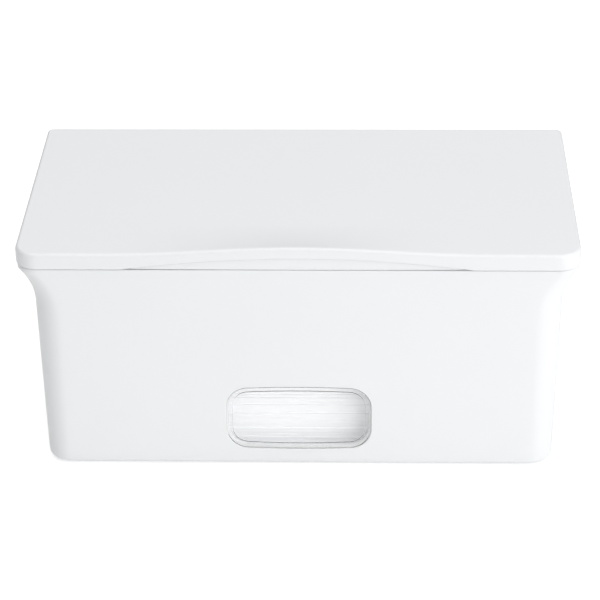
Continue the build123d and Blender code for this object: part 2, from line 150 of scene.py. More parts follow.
class LidSizes(bpy.types.PropertyGroup):
    """Lid with a crest over its finger arch and a hinge bar along its rear edge."""

    top: length("Top", "Thickness of the flat top", 1.8)
    wall: length("Wall", "Thickness of the skirt", 2.0)
    edge: length("Edge", "Rounding round the top", 1.5)
    skirt_edge: length("Skirt edge", "Rounding along the foot of the skirt", 0.3)
    front_corner: length("Front corner", "Radius of the front corners", 10.0)
    rear_corner: length("Rear corner", "Radius of the rear corners", 3.0)
    crest_height: length("Crest height", "Rise of the front edge at its middle", 3.43)
    crest_half_width: length("Crest half width", "Where the crest has run out to each side", 84.0)
    crest_reach: length("Crest reach", "How far the crest runs back over the top", 28.0)
    crest_power: factor("Crest power", "How late the crest steepens towards the front", 1.5)
    crest_wall: length("Crest wall", "Thickness of the top under the crest", 2.4)
    hollow_reach: length("Hollow reach", "How far the hollow under the crest runs in from the rib", 18.0)
    arch_height: length("Arch height", "Rise of the finger arch at its middle", 5.4)
    arch_half_width: length("Arch half width", "Where the arch has run out to each side", 76.0)
    hinge_gap: length("Hinge gap", "Gap between the lid and the tub", 0.4)
    hinge_inset: length("Hinge inset", "From the lid's side to the middle of a knuckle", 47.5)
    knuckle_length: length("Knuckle length", "Length of a knuckle on the rim frame", 14.0)
    tab_inset: length("Tab inset", "From the lid's side to the middle of a snap tab", 62.5)
    tab_width: length("Tab width", "Width of a snap tab", 18.0)
    tab_depth: length("Tab depth", "How far a snap tab hangs down", 6.5)
    tab_thickness: length("Tab thickness", "Thickness of a snap tab", 1.6)
    tab_edge: length("Tab edge", "Bevel along the foot of a snap tab", 0.4)
    tab_root: length("Tab root", "How far a snap tab reaches into the lid", 0.5)
    bead_rise: length("Bead rise", "From a tab's foot to the foot of its bead", 1.4)
    bead_proud: length("Bead proud", "How far the bead stands out and how high each slope of it is", 0.3)
    bead_face: length("Bead face", "Height of the bead's upright face", 0.4)


class RimSizes(bpy.types.PropertyGroup):
    """Upright rim round the mouth of the tub."""

    fit: length("Fit", "Gap between the frame and the tub", 0.1)
    step: length("Step", "How far the rim stands in from the frame below it", 0.2)
    wall: length("Wall", "Thickness of the upright rim", 1.8)
    edge: length("Edge", "Rounding along the top of the rim", 0.5)
    band_reach: length("Band reach", "Where the deep front and rear bands end to each side", 96.0)
    band_run: length("Band run", "Over how much the deep bands run out", 8.0)
    band_start: share("Band start", "Share of the half depth past which a band starts", 0.9)
    tongue_clearance: length("Tongue clearance", "Gap between the tongue and the gasket", 0.4)
    tongue_step: length("Tongue step", "How far the tongue's face stands behind the tub's front", 0.2)
    tongue_gap: length("Tongue gap", "Gap between the tongue and the arch over it", 0.2)
    tongue_foot_gap: length("Tongue foot gap", "Gap between the tongue's foot and the tub", 0.3)
    tongue_lift: length("Tongue lift", "How much higher the foot stands at the tongue's two ends", 0.25)
    tongue_end_gap: length("Tongue end gap", "How far the tongue ends short of the arch", 4.5)
    tongue_edge: length("Tongue edge", "Rounding along the tongue's upper front edge", 0.3)
    side_depth: length("Side depth", "Depth of the frame at its two ends", 3.6)
    rear_corner: length("Rear corner", "Radius of the frame's rear corners below the rim", 1.2)
    knuckle_root: length("Knuckle root", "How far a knuckle reaches into the frame", 0.5)
    seal_margin: length("Seal margin", "How far the gasket stands past the rim", 0.4)
    seal_edge: length("Seal edge", "Bevel along the gasket's lower edges", 0.25)
    seal_rib: length("Seal rib", "Width and depth of the rib inside the gasket", 1.0)


class StackSizes(bpy.types.PropertyGroup):
    """Stack of folded wipes."""

    layers: IntProperty(name="Layers", description="Folded layers in the stack", default=38, min=4)
    corner: length("Corner", "Radius of the stack's corners", 6.0)
    groove: length("Groove", "Depth of the groove between two layers", 0.4)
    wander: length("Wander", "How far a layer lies off the others", 0.3)
    ripple: length("Ripple", "Waviness of a layer's edge", 0.1)


class PlateSizes(bpy.types.PropertyGroup):
    """Weighted plate and its soft slot."""

    skin: length("Skin", "Thickness of the cover", 1.8)
    corner: length("Corner", "Radius of the plate's corners", 9.0)
    edge: length("Edge", "Rounding round the cover", 1.6)
    slot_length: length("Slot length", "Length of the opening in the cover", 96.0)
    slot_width: length("Slot width", "Width of the opening in the cover", 30.0)
    lip_margin: length("Lip margin", "How far the soft flange lies over the cover", 2.6)
    lip_height: length("Lip height", "Height of the soft flange", 1.2)
    lip_fit: length("Lip fit", "Gap between the soft slot and the cover", 0.1)
    lip_edge: length("Lip edge", "Rounding round the soft flange", 0.55)
    lip_wall: length("Lip wall", "Wall of the soft throat at its foot", 5.0)
    throat_power: factor("Throat power", "How late the throat narrows towards its mouth", 1.6)
    mouth_roll: length("Mouth roll", "How far the mouth's upper edge is rolled open", 0.5)
    mouth_width: length("Mouth width", "Width of the slot where the wipe comes out", 7.0)


class WipeSizes(bpy.types.PropertyGroup):
    """Free end of the next wipe, which stands in the slot."""

    drawn: length("Drawn width", "Width of the cloth that is drawn up through the slot", 120.0)
    shown: length("Shown length", "Length of cloth from the stack to the free edge", 31.0)
    thickness: length("Thickness", "Thickness of the cloth", 0.35)
    folds: IntProperty(name="Folds", description="Small folds that gather the cloth", default=9, min=4)
    gather: tilt("Gather", "Steepest turn of the folds in the slot", 79.0)
    spread: tilt("Spread", "Steepest turn of the folds at the free edge", 90.0)
    uneven: factor("Uneven", "How much wider some folds are than others", 0.9)
    lean: length("Lean", "How far the free edge leans forward", 6.0)
    soften: share("Soften", "How far small folds give way to large ones at the free edge", 0.7)
    droop: share("Droop", "How much lower the free edge hangs at its two ends", 0.25)


class Finishes(bpy.types.PropertyGroup):
    """Colours and gloss of the materials."""

    shell: colour("Shell", "White of the tub and the lid", (0.860, 0.872, 0.885))
    plate: colour("Plate", "White of the weighted plate", (0.80, 0.81, 0.82))
    wipes: colour("Wipes", "White of the moist wipes", (0.94, 0.945, 0.955))
    seal: colour("Seal", "Milky white of the silicone parts", (0.82, 0.83, 0.825))
    lip: colour("Lip", "Grey of the soft slot", (0.40, 0.43, 0.45))
    feet: colour("Feet", "Grey of the rubber feet", (0.26, 0.27, 0.28))
    steel: colour("Steel", "Tint of the steel parts", (0.66, 0.66, 0.68))
    gloss: share("Gloss", "Roughness of the white shells", 0.32)


class Studio(bpy.types.PropertyGroup):
    """Camera and light."""

    lens: FloatProperty(name="Lens", description="Focal length", default=142.76, subtype="DISTANCE_CAMERA")
    distance: FloatProperty(name="Distance", description="Camera to target", default=1.1076, unit="LENGTH")
    elevation: tilt("Elevation", "Camera above the horizon", 28.62)
    azimuth: tilt("Azimuth", "Camera to the right of the front", 2.087)
    roll: tilt("Roll", "Lean of the camera", -0.805)
    target: FloatVectorProperty(
        name="Target", description="Point in the middle of the view", default=(-0.0056, 0.0, 0.0464), size=3
    )
    shift: FloatVectorProperty(
        name="Shift", description="Offset in widths of the picture", default=(0.01682, 0.01511), size=2
    )
    floor_half: length("Floor half", "Half the width of the floor", 3000.0)
    floor_glow: factor("Floor glow", "Own light of the pale floor", 0.13)
    camera_glow: factor("Camera glow", "Further glow of the floor that only the camera sees", 0.35)
    sky: factor("Sky", "Strength of the even light all round", 0.26)
    key_power: power("Key power", "Power of the light in front at the right", 17.5)
    top_power: power("Top power", "Power of the wide light overhead", 20.5)
    back_power: power("Back power", "Power of the light behind", 2.5)
    aim_height: length("Aim height", "Height that all three lights point at", 50.0)


# Levels and half sizes, read from the frame

tub_low, tub_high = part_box("body_shell")
lid_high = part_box("lid")[1]
rim_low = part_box("rim_frame")[0]
stack_low, stack_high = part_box("wipes_stack")
plate_low, plate_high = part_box("plate_cover")
lip_low, lip_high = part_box("slot_lip")
gasket_low, gasket_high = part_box("lid_gasket")

UNDERSIDE = tub_low[2]
SHOULDER = tub_high[2]
LID_HALF_WIDTH = lid_high[0]
LID_HALF_DEPTH = lid_high[1]

hinge = next(joint for joint in frame["joints"] if joint["name"] == "lid_hinge")
HINGE_Y, HINGE_Z = hinge["pos_m"][1:]
HINGE_RADIUS = LID_HALF_DEPTH - HINGE_Y
SKIRT = HINGE_Z - HINGE_RADIUS
LID_UNDER = gasket_high[2]
SEAL_GAP = 0.1 * MM
RIM_TOP = gasket_low[2] - SEAL_GAP


# Grids and rings

RUN_COUNT = 161
SIDE_COUNT = 40
CORNER_COUNT = 13
EVEN_RUN = np.linspace(-1.0, 1.0, RUN_COUNT)

# Least corner radii of a drawn-in outline, of the inside of tub and mouth, and of the mouth's front
LEAST_RADIUS = 0.3 * MM
INNER_RADIUS = 0.6 * MM
MOUTH_RADIUS = 1.0 * MM

# Least way from the end of a run to its corner
CORNER_ROOM = 0.5 * MM

# Flat margins: from the window to the open region of the wall's grid, from the window's rounded edge
# to the first outline round it, and from the end of the crest to the flat middle of the roof
REGION_MARGIN = 3.3 * MM
WINDOW_APRON = 1.2 * MM
CREST_MARGIN = 2.0 * MM

# Half lengths of the front and rear runs, which end short of the corners, and for the slot their
# share of its straight sides
TUB_SPAN = 98.0 * MM
RIM_SPAN = 108.0 * MM
LID_SPAN = 110.0 * MM
STACK_SPAN = 90.0 * MM
PLATE_SPAN = 96.0 * MM
SLOT_RUN_SHARE = 0.98


def grid_faces(rows, columns, closed_rows=False):
    """Quads of a grid whose columns wrap round, numbered row by row, as an array of four corners."""
    row = np.arange(rows if closed_rows else rows - 1)[:, None]
    column = np.arange(columns)[None, :]
    above = (row + 1) % rows
    beside = (column + 1) % columns
    corners = (
        row * columns + column,
        row * columns + beside,
        above * columns + beside,
        above * columns + column,
    )
    return np.stack(np.broadcast_arrays(*corners), axis=-1).reshape(-1, 4)


def plan_rings(z, half_width, front, rear, front_radius, rear_radius, span, rear_run=EVEN_RUN):
    """Rounded rectangles seen from above, one for each level, as an array of levels by points by 3.

    Each goes anticlockwise: the front run, whose points are even shares times the span,
    a quarter circle about the corner's centre, the right side, a quarter circle, the rear run
    with shares of its own, a quarter circle, the left side and a quarter circle.
    """
    z, half_width, front, rear, front_radius, rear_radius, span = (
        np.atleast_1d(np.asarray(value, float))[:, None]
        for value in np.broadcast_arrays(z, half_width, front, rear, front_radius, rear_radius, span)
    )
    quarter = np.linspace(0.0, pi / 2, CORNER_COUNT)[None, :]
    along = (np.arange(SIDE_COUNT)[None, :] + 1.0) / (SIDE_COUNT + 1.0)

    def corner(side, end, radius, start):
        """Quarter circle about one corner's centre, from a start angle."""
        centre_x = side * (half_width - radius)
        centre_y = (front + radius) if end < 0 else (rear - radius)
        return centre_x + radius * np.cos(start + quarter), centre_y + radius * np.sin(start + quarter)

    side_front, side_rear = front + front_radius, rear - rear_radius
    side_y = side_front + (side_rear - side_front) * along
    level = np.ones_like(side_y)
    runs = [
        (span * EVEN_RUN[None, :], front * np.ones_like(EVEN_RUN)[None, :]),
        corner(1, -1, front_radius, -pi / 2),
        (half_width * level, side_y),
        corner(1, 1, rear_radius, 0.0),
        (span * rear_run[None, ::-1], rear * np.ones_like(rear_run)[None, :]),
        corner(-1, 1, rear_radius, pi / 2),
        (-half_width * level, side_y[:, ::-1]),
        corner(-1, -1, front_radius, pi),
    ]
    x = np.concatenate([run[0] for run in runs], axis=1)
    y = np.concatenate([run[1] for run in runs], axis=1)
    return np.stack([x, y, np.broadcast_to(z, x.shape)], axis=-1)


def shell_of(rings, closed=False):
    """Closed skin through rings of equal count: quads between them and a flat cap at each end.

    Closed rings have no caps, and quads run from the last one back to the first.
    """
    rings = np.asarray(rings)
    count, points = rings.shape[:2]
    faces = grid_faces(count, points, closed_rows=closed).tolist()
    if not closed:
        faces.append(list(range(points))[::-1])
        faces.append(list(range((count - 1) * points, count * points)))
    return rings.reshape(-1, 3), faces


def prism(profile, start, end):
    """Closed bar along X: (y, z) points, anticlockwise seen from +X, carried from start to end."""
    return shell_of([np.column_stack([np.full(len(profile), x), profile]) for x in (start, end)])


def both_sides(profile, middle, width):
    """The same bar along X at the left and at the right, its middle a distance from the centre."""
    return [prism(profile, side * middle - width / 2, side * middle + width / 2) for side in (-1, 1)]


def quarter_arc(steps, radius):
    """Insets and drops of a rounded edge, from the flat face to the upright one."""
    angle = np.linspace(0.0, pi / 2, steps)
    return radius * (1 - np.sin(angle)), radius * (1 - np.cos(angle))


def edge_steps(steps, radius):
    """The quarter arc's insets and drops, as a list of pairs."""
    return list(zip(*quarter_arc(steps, radius)))


def make_piece(name, skins, body, slot, finish, replaced, sharp=radians(35)):
    """One mesh object from (points, faces) skins, riding on a body, smooth except at sharp edges."""
    points, faces, start = [], [], 0
    for skin_points, skin_faces in skins:
        points.append(skin_points)
        faces += [[start + corner for corner in face] for face in skin_faces]
        start += len(skin_points)
    mesh = bpy.data.meshes.new(name)
    mesh.from_pydata(np.concatenate(points).tolist(), [], faces)
    merged = bmesh.new()
    merged.from_mesh(mesh)
    bmesh.ops.remove_doubles(merged, verts=merged.verts, dist=MERGE_DISTANCE)
    bmesh.ops.dissolve_degenerate(merged, edges=merged.edges, dist=MERGE_DISTANCE)
    merged.to_mesh(mesh)
    merged.free()
    mesh.shade_smooth()
    mesh.set_sharp_from_angle(angle=sharp)
    mesh.materials.append(finish_material(finish))
    piece = bpy.data.objects.new(name, mesh)
    bpy.context.scene.collection.objects.link(piece)
    weighted = piece.modifiers.new("even_normals", "WEIGHTED_NORMAL")
    weighted.keep_sharp = True
    weighted.weight = 90
    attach(piece, body)
    if replaced:
        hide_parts(*replaced)
    return piece


# Forms of the tub, the window, the lid and the rim


class TubForm:
    """The tub's widths, depths and corners at any height, for its outside or an inset within it."""

    def __init__(self, tub):
        """The cove's centre lies a radius outside the waist, and its arc ends on the rim band."""
        self.tub = tub
        self.slope = tan(tub.draft)
        self.rim_half_width = LID_HALF_WIDTH - tub.lid_overhang
        self.rim_half_depth = LID_HALF_DEPTH - tub.lid_overhang
        radius = tub.cove_radius
        self.centre_x = LID_HALF_WIDTH - tub.waist_inset + radius * cos(tub.draft)
        reach = self.centre_x - self.rim_half_width
        self.centre_z = SHOULDER - tub.rim_band - (radius**2 - reach**2) ** 0.5

    def foot(self, inset):
        """Height where the drafted side runs into the cove."""
        return self.centre_z + (self.tub.cove_radius + inset) * sin(self.tub.draft)

    def head(self, inset):
        """Height where the cove reaches the upright rim band."""
        reach = self.centre_x - self.rim_half_width + inset
        return self.centre_z + ((self.tub.cove_radius + inset) ** 2 - reach**2) ** 0.5

    def half_width(self, z, inset):
        """Drafted side below, then an arc about the cove's centre, then the rim band."""
        foot, head = self.foot(inset), self.head(inset)
        rise = np.clip(z, foot, head) - self.centre_z
        drafted = np.maximum(0.0, foot - z) * self.slope
        return self.centre_x - np.sqrt((self.tub.cove_radius + inset) ** 2 - rise**2) - drafted

    def half_depth(self, z, inset):
        """Drafted front and rear walls, upright in the rim band."""
        return self.rim_half_depth - (SHOULDER - np.minimum(z, self.head(0.0))) * self.slope - inset

    def corners(self, z, inset):
        """Corner radii: they grow with the draft up to the cove, and tighten along it to the rim's."""
        tub = self.tub
        foot, head = self.foot(inset), self.head(inset)
        start = UNDERSIDE + inset
        share_up = np.clip((z - foot) / (head - foot), 0.0, 1.0)
        growth = (np.minimum(z, foot) - start) * self.slope
        radii = []
        for base, rim in ((tub.base_corner, tub.rim_corner), (tub.base_rear_corner, tub.rear_corner)):
            lower = base - inset + growth
            radii.append(np.maximum(lower + (rim - inset - lower) * share_up, INNER_RADIUS))
        return radii

    def rings(self, z, inset, extra=0.0):
        """Plans at some heights, drawn in by an extra margin for each, as on a rounded edge."""
        z = np.asarray(z, float)
        depth = self.half_depth(z, inset) - extra
        front_radius, rear_radius = self.corners(z, inset)
        return plan_rings(
            z,
            self.half_width(z, inset) - extra,
            -depth,
            depth,
            np.maximum(front_radius - extra, LEAST_RADIUS),
            np.maximum(rear_radius - extra, LEAST_RADIUS),
            TUB_SPAN,
        )


def outline_ring(window, margin, run_intervals, rise_intervals):
    """The window's outline drawn in by a margin, as (across, up) points about its middle.

    It is a rounded rectangle, and its upper and lower edges bulge by a parabola across its width.
    Each quarter is evenly divided, along half the lower edge, the corner and half the side.
    """
    half_width = window.width / 2 - margin
    half_height = window.height / 2 - window.bow - margin
    radius = max(window.corner - margin, LEAST_RADIUS)
    flat, upright, bend = half_width - radius, half_height - radius, radius * pi / 2
    steps = (run_intervals + rise_intervals) // 2
    way = np.arange(steps + 1) / steps * (flat + bend + upright)
    angle = np.clip(way - flat, 0.0, bend) / radius
    across = np.minimum(way, flat) + radius * np.sin(angle)
    down = half_height - radius * (1 - np.cos(angle)) - np.maximum(way - flat - bend, 0.0)
    u = np.concatenate([across[:-1], across[:0:-1], -across[:-1], -across[:0:-1]])
    v = np.concatenate([-down[:-1], down[:0:-1], down[:-1], -down[:0:-1]])
    bulge = window.bow * (1 - np.minimum(np.abs(u) / half_width, 1.0) ** 2)
    return np.column_stack([u, v + np.sign(v) * bulge])


def on_window(form, window, outline, depth):
    """Places (across, up) points on the drafted front wall, a depth behind it."""
    lean = form.tub.draft
    middle_z = UNDERSIDE + window.sill + window.height / 2
    middle_y = -form.half_depth(middle_z, 0.0)
    across, up = outline[:, 0], outline[:, 1]
    y = middle_y - up * sin(lean) + depth * cos(lean)
    z = middle_z + up * cos(lean) + depth * sin(lean)
    return np.column_stack([across, y, z])


def region_loop(levels, columns, points):
    """Grid numbers round a region, from the middle of its lower edge, anticlockwise from the front."""
    half = len(columns) // 2
    return np.concatenate(
        [
            levels[0] * points + columns[half:-1],
            levels[:-1] * points + columns[-1],
            levels[-1] * points + columns[:0:-1],
            levels[:0:-1] * points + columns[0],
            levels[0] * points + columns[:half],
        ]
    )


def crest(lid, x, y):
    """Rise of the lid's top: a squared cosine across it, times a power of the way to its front edge."""
    across = np.cos(pi / 2 * np.minimum(1.0, np.abs(x) / lid.crest_half_width)) ** 2
    along = np.maximum(0.0, (lid.crest_reach - LID_HALF_DEPTH - y) / lid.crest_reach) ** lid.crest_power
    return lid.crest_height * across * along


def arch(lid, x):
    """Rise of the skirt's foot: a circular arc through the arch's two ends and its crown."""
    radius = (lid.arch_half_width**2 + lid.arch_height**2) / (2 * lid.arch_height)
    reach = np.minimum(np.abs(x), lid.arch_half_width)
    return np.sqrt(radius**2 - reach**2) - (radius - lid.arch_height)


class MouthForm:
    """Plan of the upright rim: its outside, which the gasket and the lid's rib follow."""

    def __init__(self, scene):
        """The frame fits inside the tub's wall, and the rim stands a step in from the frame."""
        tub, rim, lid = scene.dispenser_tub, scene.dispenser_rim, scene.dispenser_lid
        inset = tub.wall + rim.fit
        form = TubForm(tub)
        self.frame_half_width = form.rim_half_width - inset
        self.frame_half_depth = form.rim_half_depth - inset
        self.half_width = self.frame_half_width - rim.step
        self.front = rim.step - self.frame_half_depth
        self.rear = HINGE_Y - HINGE_RADIUS - lid.hinge_gap
        self.corner = tub.rim_corner - inset - rim.step
        self.rear_corner = tub.rear_corner

    def ring(self, z, drawn_in, span=RIM_SPAN, rear_run=EVEN_RUN):
        """Outline of the upright rim at a height, drawn in from its outside."""
        half_width = self.half_width - drawn_in
        radius = max(self.corner - drawn_in, MOUTH_RADIUS)
        return plan_rings(
            z,
            half_width,
            self.front + drawn_in,
            self.rear - drawn_in,
            radius,
            max(self.rear_corner - drawn_in, INNER_RADIUS),
            min(span, half_width - radius - CORNER_ROOM),
            rear_run=rear_run,
        )[0]


# Shader groups and materials


def new_group(name, inputs, outputs):
    """A shader node group with named sockets, given as (kind, name, default), and its two end nodes."""
    group = bpy.data.node_groups.new(name, "ShaderNodeTree")
    for kind, socket, default in inputs:
        made = group.interface.new_socket(name=socket, in_out="INPUT", socket_type=kind)
        if default is not None:
            made.default_value = default
    for kind, socket in outputs:
        group.interface.new_socket(name=socket, in_out="OUTPUT", socket_type=kind)
    return group, group.nodes.new("NodeGroupInput"), group.nodes.new("NodeGroupOutput")


def feed(tree, node, inputs):
    """Fills a node's inputs, each given as (input, value) or (input, socket of another node)."""
    for target, source in inputs:
        if isinstance(source, bpy.types.NodeSocket):
            tree.links.new(source, node.inputs[target])
        else:
            node.inputs[target].default_value = source


def add_node(tree, kind, inputs=(), **settings):
    """A node with its settings and its inputs filled."""
    node = tree.nodes.new(kind)
    for key, value in settings.items():
        setattr(node, key, value)
    feed(tree, node, inputs)
    return node


def noise(tree, place, scale, detail):
    """Cloudy noise from 0 to 1."""
    inputs = [("Vector", place), ("Scale", scale), ("Detail", detail)]
    return add_node(tree, "ShaderNodeTexNoise", inputs).outputs["Fac"]


def stretched(tree, place, scale):
    """The place times a scale of its own along each axis, which draws a pattern out into lines."""
    return add_node(tree, "ShaderNodeMapping", [("Vector", place), ("Scale", scale)]).outputs["Vector"]


def combined(tree, operation, *values):
    """Two or three values put together by an operation."""
    return add_node(tree, "ShaderNodeMath", enumerate(values), operation=operation).outputs[0]


def carried(tree, value, low, high, start=0.0, end=1.0):
    """A value carried in proportion from the range start to end onto the range low to high."""
    inputs = [("Value", value), ("From Min", start), ("From Max", end), ("To Min", low), ("To Max", high)]
    return add_node(tree, "ShaderNodeMapRange", inputs).outputs["Result"]


def toned(tree, tint, tone):
    """A colour times a tone."""
    return add_node(tree, "ShaderNodeVectorMath", [(0, tint), ("Scale", tone)], operation="SCALE").outputs[0]


def bumped(tree, height, strength, distance):
    """Normal of a surface with a relief."""
    inputs = [("Height", height), ("Strength", strength), ("Distance", distance)]
    return add_node(tree, "ShaderNodeBump", inputs).outputs["Normal"]


def moulding_group():
    """Moulded plastic: a faint drift of tone, a drift of gloss and a fine orange-peel relief."""
    group, given, made = new_group(
        "moulded_skin",
        [
            ("NodeSocketVector", "Place", None),
            ("NodeSocketColor", "Colour", (0.8, 0.8, 0.8, 1.0)),
            ("NodeSocketFloat", "Roughness", 0.35),
            ("NodeSocketFloat", "Grain size", 900.0),
            ("NodeSocketFloat", "Drift", 0.02),
        ],
        [("NodeSocketColor", "Colour"), ("NodeSocketFloat", "Roughness"), ("NodeSocketFloat", "Height")],
    )
    place, tint, roughness, grain_size, drift = given.outputs[:5]
    swing = combined(group, "SUBTRACT", noise(group, place, 14.0, 3.0), 0.5)
    tone = combined(group, "MULTIPLY_ADD", swing, drift, 1.0)
    feed(
        group,
        made,
        [
            ("Colour", toned(group, tint, tone)),
            ("Roughness", combined(group, "MULTIPLY_ADD", swing, 0.12, roughness)),
            ("Height", noise(group, place, grain_size, 2.0)),
        ],
    )
    return group


def new_material(name):
    """An empty node material with its Principled shader and Object coordinates."""
    material = bpy.data.materials.new(name)
    material.use_nodes = True
    tree = material.node_tree
    tree.nodes.clear()
    shader = tree.nodes.new("ShaderNodeBsdfPrincipled")
    output = tree.nodes.new("ShaderNodeOutputMaterial")
    tree.links.new(shader.outputs["BSDF"], output.inputs["Surface"])
    place = tree.nodes.new("ShaderNodeTexCoord").outputs["Object"]
    return material, tree, shader, place


def moulded(name, tint, roughness, grain_size=900.0, relief=0.02, drift=0.02, coat=0.0):
    """Moulded plastic or rubber of one tint, with the shared skin."""
    material, tree, shader, place = new_material(name)
    group = bpy.data.node_groups.get("moulded_skin") or moulding_group()
    values = [("Place", place), ("Colour", (*tint, 1.0)), ("Roughness", roughness)]
    values += [("Grain size", grain_size), ("Drift", drift)]
    skin = add_node(tree, "ShaderNodeGroup", values, node_tree=group)
    looks = [
        ("Base Color", skin.outputs["Colour"]),
        ("Roughness", skin.outputs["Roughness"]),
        ("Normal", bumped(tree, skin.outputs["Height"], relief, 0.1 * MM)),
        ("Coat Weight", coat),
    ]
    feed(tree, shader, looks)
    return material


def clear_lens_material():
    """Clear polished acrylic, with a faint drift in its gloss, that lets direct light through."""
    material, tree, shader, place = new_material("clear_acrylic")
    looks = [
        ("Base Color", (0.99, 0.99, 0.99, 1.0)),
        ("Roughness", carried(tree, noise(tree, place, 60.0, 1.0), 0.0, 0.03)),
        ("IOR", 1.49),
        ("Transmission Weight", 1.0),
    ]
    feed(tree, shader, looks)
    path = add_node(tree, "ShaderNodeLightPath").outputs
    straight = combined(tree, "MAXIMUM", path["Is Shadow Ray"], path["Is Diffuse Ray"])
    see_through = add_node(tree, "ShaderNodeBsdfTransparent").outputs["BSDF"]
    inputs = [("Fac", straight), (1, shader.outputs["BSDF"]), (2, see_through)]
    mix = add_node(tree, "ShaderNodeMixShader", inputs)
    output = next(node for node in tree.nodes if node.type == "OUTPUT_MATERIAL")
    tree.links.new(mix.outputs["Shader"], output.inputs["Surface"])
    return material


def wipes_material(tint):
    """Moist non-woven cloth: long fibres that run along each layer, over a soft mottle, with a painted glow
    in the cloth's own colour that stands in for light falling on the wipes.
    """
    material, tree, shader, place = new_material("moist_nonwoven")
    fibres = noise(tree, stretched(tree, place, (9.0, 9.0, 1100.0)), 1.0, 4.0)
    relief = combined(tree, "ADD", fibres, noise(tree, place, 220.0, 3.0))
    streaked = toned(tree, tint, carried(tree, fibres, 0.965, 1.0, start=0.3, end=0.7))
    looks = [
        ("Base Color", streaked),
        ("Normal", bumped(tree, relief, 0.2, 0.2 * MM)),
        # Painted glow: the cloth gives off a little light in its own streaked colour, standing in for light
        # that falls on the wipes behind the window
        ("Emission Color", streaked),
        ("Emission Strength", 0.16),
        ("Roughness", 0.62),
        ("Sheen Weight", 0.25),
    ]
    feed(tree, shader, looks)
    return material


def steel_material(tint):
    """Bright steel with fine drawing marks along X."""
    material, tree, shader, place = new_material("bright_steel")
    marks = noise(tree, stretched(tree, place, (40.0, 2500.0, 2500.0)), 1.0, 3.0)
    looks = [
        ("Base Color", (*tint, 1.0)),
        ("Metallic", 1.0),
        ("Roughness", carried(tree, marks, 0.22, 0.42)),
        ("Normal", bumped(tree, marks, 0.1, 0.05 * MM)),
    ]
    feed(tree, shader, looks)
    return material


def paper_material(studio):
    """Pale paper with a faint tooth, which glows a little and more so towards the camera."""
    material, tree, shader, place = new_material("pale_paper")
    seen = add_node(tree, "ShaderNodeLightPath").outputs["Is Camera Ray"]
    looks = [
        ("Base Color", (0.90, 0.90, 0.90, 1.0)),
        ("Roughness", carried(tree, noise(tree, place, 400.0, 2.0), 0.85, 0.95)),
        ("Specular IOR Level", 0.1),
        ("Emission Color", (1.0, 1.0, 1.0, 1.0)),
        ("Emission Strength", combined(tree, "MULTIPLY_ADD", seen, studio.camera_glow, studio.floor_glow)),
    ]
    feed(tree, shader, looks)
    return material


def finish_material(name):
    """The material of a name, made the first time that a piece asks for it."""
    found = bpy.data.materials.get(name)
    if found:
        return found
    finishes = bpy.context.scene.dispenser_finishes
    makers = {
        "glossy_shell": lambda: moulded(name, finishes.shell, finishes.gloss, coat=0.15),
        "matt_plate": lambda: moulded(name, finishes.plate, 0.5, grain_size=1600.0, relief=0.12),
        "soft_seal": lambda: moulded(name, finishes.seal, 0.55, grain_size=700.0, relief=0.05),
        "soft_lip": lambda: moulded(name, finishes.lip, 0.6, grain_size=1200.0, relief=0.1, drift=0.06),
        "rubber_feet": lambda: moulded(name, finishes.feet, 0.75, grain_size=1500.0, relief=0.25, drift=0.12),
        "clear_acrylic": clear_lens_material,
        # The cloth's material carries a painted glow that stands in for light falling on the wipes
        "moist_nonwoven": lambda: wipes_material(finishes.wipes),
        "bright_steel": lambda: steel_material(finishes.steel),
    }
    return makers[name]()


# Operators, one for each piece or group of like pieces


